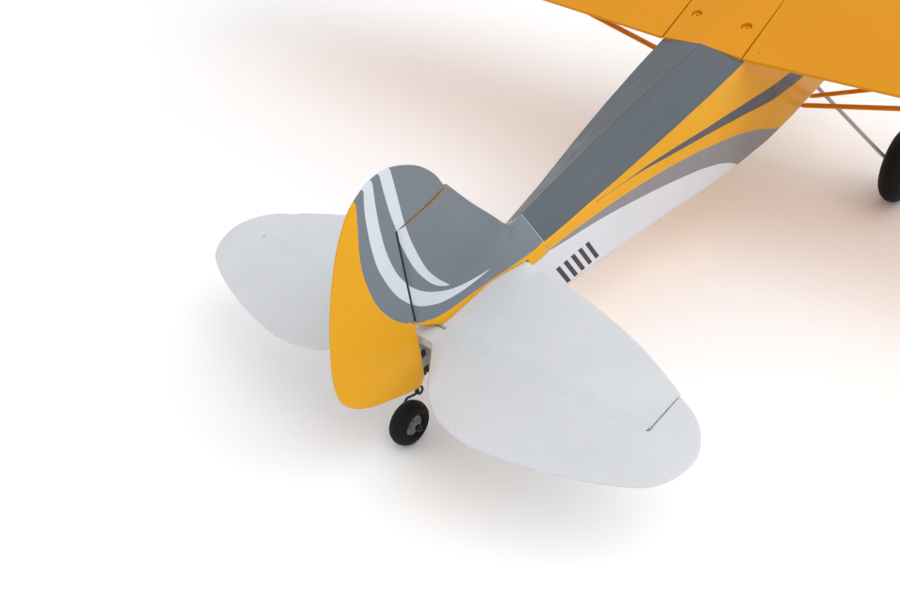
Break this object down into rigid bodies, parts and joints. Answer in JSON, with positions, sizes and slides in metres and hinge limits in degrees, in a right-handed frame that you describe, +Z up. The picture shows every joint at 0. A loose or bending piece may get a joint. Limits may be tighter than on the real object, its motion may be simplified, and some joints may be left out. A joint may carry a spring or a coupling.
{
  "type": "rc foam airplane",
  "caption": "High-wing foam radio-controlled trainer with struts, tail wheel, hinged control surfaces, servo linkages, spinning wheels and propeller.",
  "frame": {"origin": "on the floor at the middle of the bounding box, with the aeroplane standing on its three wheels", "axes": "+X towards the nose, +Y towards the port (left) wing tip, +Z up; the fuselage is pitched 11.37 degrees nose up"},
  "size_m": [0.876, 1.298, 0.3088],
  "materials": {
    "yellow_film": "satin film over foam",
    "grey_film": "satin film over foam",
    "glazing": "clear tinted sheet",
    "white_foam": "moulded bead foam",
    "black_plastic": "satin",
    "black_rubber": "matt foam rubber",
    "grey_plastic": "satin",
    "steel": "drawn wire",
    "orange_plastic": "satin",
    "servo_arm_plastic": "moulded nylon",
    "plywood": "bare plywood",
    "blue_wrap": "shrink wrap",
    "alloy": "machined"
  },
  "bodies": {
    "airframe": {"fuselage_left": "yellow_film", "fuselage_right": "yellow_film", "windscreen": "glazing", "cowl": "yellow_film", "window_left": "glazing", "window_right": "glazing", "fin": "grey_film", "stabilizer": "white_foam", "rudder_hinge_upper": "black_plastic", "rudder_hinge_lower": "black_plastic", "main_gear_wire": "steel", "main_gear_saddle": "black_plastic", "wing_joiner_tube": "black_plastic", "wing_centre": "yellow_film", "wing_bolt_left": "orange_plastic", "wing_left": "yellow_film", "aileron_servo_left": "black_plastic", "strut_rear_left": "orange_plastic", "strut_front_left": "orange_plastic", "wing_bolt_right": "orange_plastic", "wing_right": "yellow_film", "aileron_servo_right": "black_plastic", "strut_rear_right": "orange_plastic", "strut_front_right": "orange_plastic", "servo_tray": "plywood", "rudder_servo": "black_plastic", "elevator_servo": "black_plastic", "firewall": "plywood", "battery": "blue_wrap", "speed_controller": "blue_wrap", "receiver": "black_plastic", "motor_stator": "alloy"},
    "rudder": {"rudder": "yellow_film", "rudder_horn": "black_plastic", "tail_wheel_wire": "black_plastic", "tail_wheel_collar": "black_plastic"},
    "tail_wheel": {"tail_tyre": "black_rubber", "tail_hub": "grey_plastic"},
    "elevator": {"elevator": "white_foam", "elevator_horn": "black_plastic"},
    "aileron_left": {"aileron_left": "yellow_film", "aileron_horn_left": "black_plastic"},
    "aileron_right": {"aileron_right": "yellow_film", "aileron_horn_right": "black_plastic"},
    "main_wheel_left": {"main_tyre_left": "black_rubber", "main_hub_left": "grey_plastic"},
    "main_wheel_right": {"main_tyre_right": "black_rubber", "main_hub_right": "grey_plastic"},
    "propeller": {"propeller": "black_plastic", "spinner": "yellow_film", "motor_bell": "steel"},
    "top_hatch": {"top_hatch": "grey_film"},
    "rudder_servo_arm": {"rudder_servo_arm": "servo_arm_plastic"},
    "rudder_rod": {"rudder_rod": "steel"},
    "elevator_servo_arm": {"elevator_servo_arm": "servo_arm_plastic"},
    "elevator_rod": {"elevator_rod": "steel"},
    "aileron_servo_arm_left": {"aileron_servo_arm_left": "servo_arm_plastic"},
    "aileron_rod_left": {"aileron_rod_left": "steel"},
    "aileron_servo_arm_right": {"aileron_servo_arm_right": "servo_arm_plastic"},
    "aileron_rod_right": {"aileron_rod_right": "steel"}
  },
  "joints": [
    {"name": "rudder_hinge", "type": "hinge", "parent": "airframe", "child": "rudder", "pos_m": [-0.3574, 0, 0.08746], "axis": [-0.1971, 0, 0.9804], "range_deg": [-28, 28]},
    {"name": "tail_wheel_spin", "type": "hinge", "parent": "rudder", "child": "tail_wheel", "pos_m": [-0.36588, 0, 0.018], "axis": [0, 1, 0], "continuous": true},
    {"name": "elevator_hinge", "type": "hinge", "parent": "airframe", "child": "elevator", "pos_m": [-0.33779, 0, 0.0914], "axis": [0, 1, 0], "range_deg": [-22, 22]},
    {"name": "aileron_left_hinge", "type": "hinge", "parent": "airframe", "child": "aileron_left", "pos_m": [0.05546, 0.29961, 0.22058], "axis": [-0.0086, 0.999, 0.0428], "range_deg": [-20, 20]},
    {"name": "aileron_right_hinge", "type": "hinge", "parent": "airframe", "child": "aileron_right", "pos_m": [0.05546, -0.29961, 0.22058], "axis": [0.0086, 0.999, -0.0428], "range_deg": [-20, 20]},
    {"name": "main_wheel_left_spin", "type": "hinge", "parent": "airframe", "child": "main_wheel_left", "pos_m": [0.22845, 0.135, 0.04], "axis": [0, 1, 0], "continuous": true},
    {"name": "main_wheel_right_spin", "type": "hinge", "parent": "airframe", "child": "main_wheel_right", "pos_m": [0.22845, -0.135, 0.04], "axis": [0, 1, 0], "continuous": true},
    {"name": "propeller_spin", "type": "hinge", "parent": "airframe", "child": "propeller", "pos_m": [0.41028, 0, 0.19593], "axis": [0.9804, 0, 0.1971], "continuous": true},
    {"name": "top_hatch_hinge", "type": "hinge", "parent": "airframe", "child": "top_hatch", "pos_m": [0.33571, 0, 0.22184], "axis": [0, 1, 0], "range_deg": [0, 70]},
    {"name": "rudder_servo_arm_hinge", "type": "hinge", "parent": "airframe", "child": "rudder_servo_arm", "pos_m": [0.08736, 0, 0.15833], "axis": [-0.1971, 0, 0.9804], "range_deg": [-28, 28]},
    {"name": "rudder_rod_pivot", "type": "hinge", "parent": "rudder_servo_arm", "child": "rudder_rod", "pos_m": [0.08692, 0.018, 0.16049], "axis": [-0.1971, 0, 0.9804], "range_deg": [-28, 28]},
    {"name": "elevator_servo_arm_hinge", "type": "hinge", "parent": "airframe", "child": "elevator_servo_arm", "pos_m": [0.04066, -0.022, 0.1369], "axis": [0, 1, 0], "range_deg": [-22, 22]},
    {"name": "elevator_rod_pivot", "type": "hinge", "parent": "elevator_servo_arm", "child": "elevator_rod", "pos_m": [0.04401, -0.0198, 0.12024], "axis": [0, 1, 0], "range_deg": [-22, 22]},
    {"name": "aileron_servo_arm_left_hinge", "type": "hinge", "parent": "airframe", "child": "aileron_servo_arm_left", "pos_m": [0.10757, 0.40082, 0.23535], "axis": [-0.0086, 0.999, 0.0428], "range_deg": [-20, 20]},
    {"name": "aileron_rod_left_pivot", "type": "hinge", "parent": "aileron_servo_arm_left", "child": "aileron_rod_left", "pos_m": [0.11149, 0.40389, 0.21586], "axis": [-0.0086, 0.999, 0.0428], "range_deg": [-20, 20]},
    {"name": "aileron_servo_arm_right_hinge", "type": "hinge", "parent": "airframe", "child": "aileron_servo_arm_right", "pos_m": [0.10757, -0.40082, 0.23535], "axis": [0.0086, 0.999, -0.0428], "range_deg": [-20, 20]},
    {"name": "aileron_rod_right_pivot", "type": "hinge", "parent": "aileron_servo_arm_right", "child": "aileron_rod_right", "pos_m": [0.11149, -0.40389, 0.21586], "axis": [0.0086, 0.999, -0.0428], "range_deg": [-20, 20]}
  ],
  "couplings": [
    {"joint": "rudder_servo_arm_hinge", "follows": "rudder_hinge", "ratio": 1},
    {"joint": "rudder_rod_pivot", "follows": "rudder_hinge", "ratio": -1},
    {"joint": "elevator_servo_arm_hinge", "follows": "elevator_hinge", "ratio": 1},
    {"joint": "elevator_rod_pivot", "follows": "elevator_hinge", "ratio": -1},
    {"joint": "aileron_right_hinge", "follows": "aileron_left_hinge", "ratio": -1},
    {"joint": "aileron_servo_arm_left_hinge", "follows": "aileron_left_hinge", "ratio": 1},
    {"joint": "aileron_rod_left_pivot", "follows": "aileron_left_hinge", "ratio": -1},
    {"joint": "aileron_servo_arm_right_hinge", "follows": "aileron_left_hinge", "ratio": -1},
    {"joint": "aileron_rod_right_pivot", "follows": "aileron_left_hinge", "ratio": 1}
  ]
}
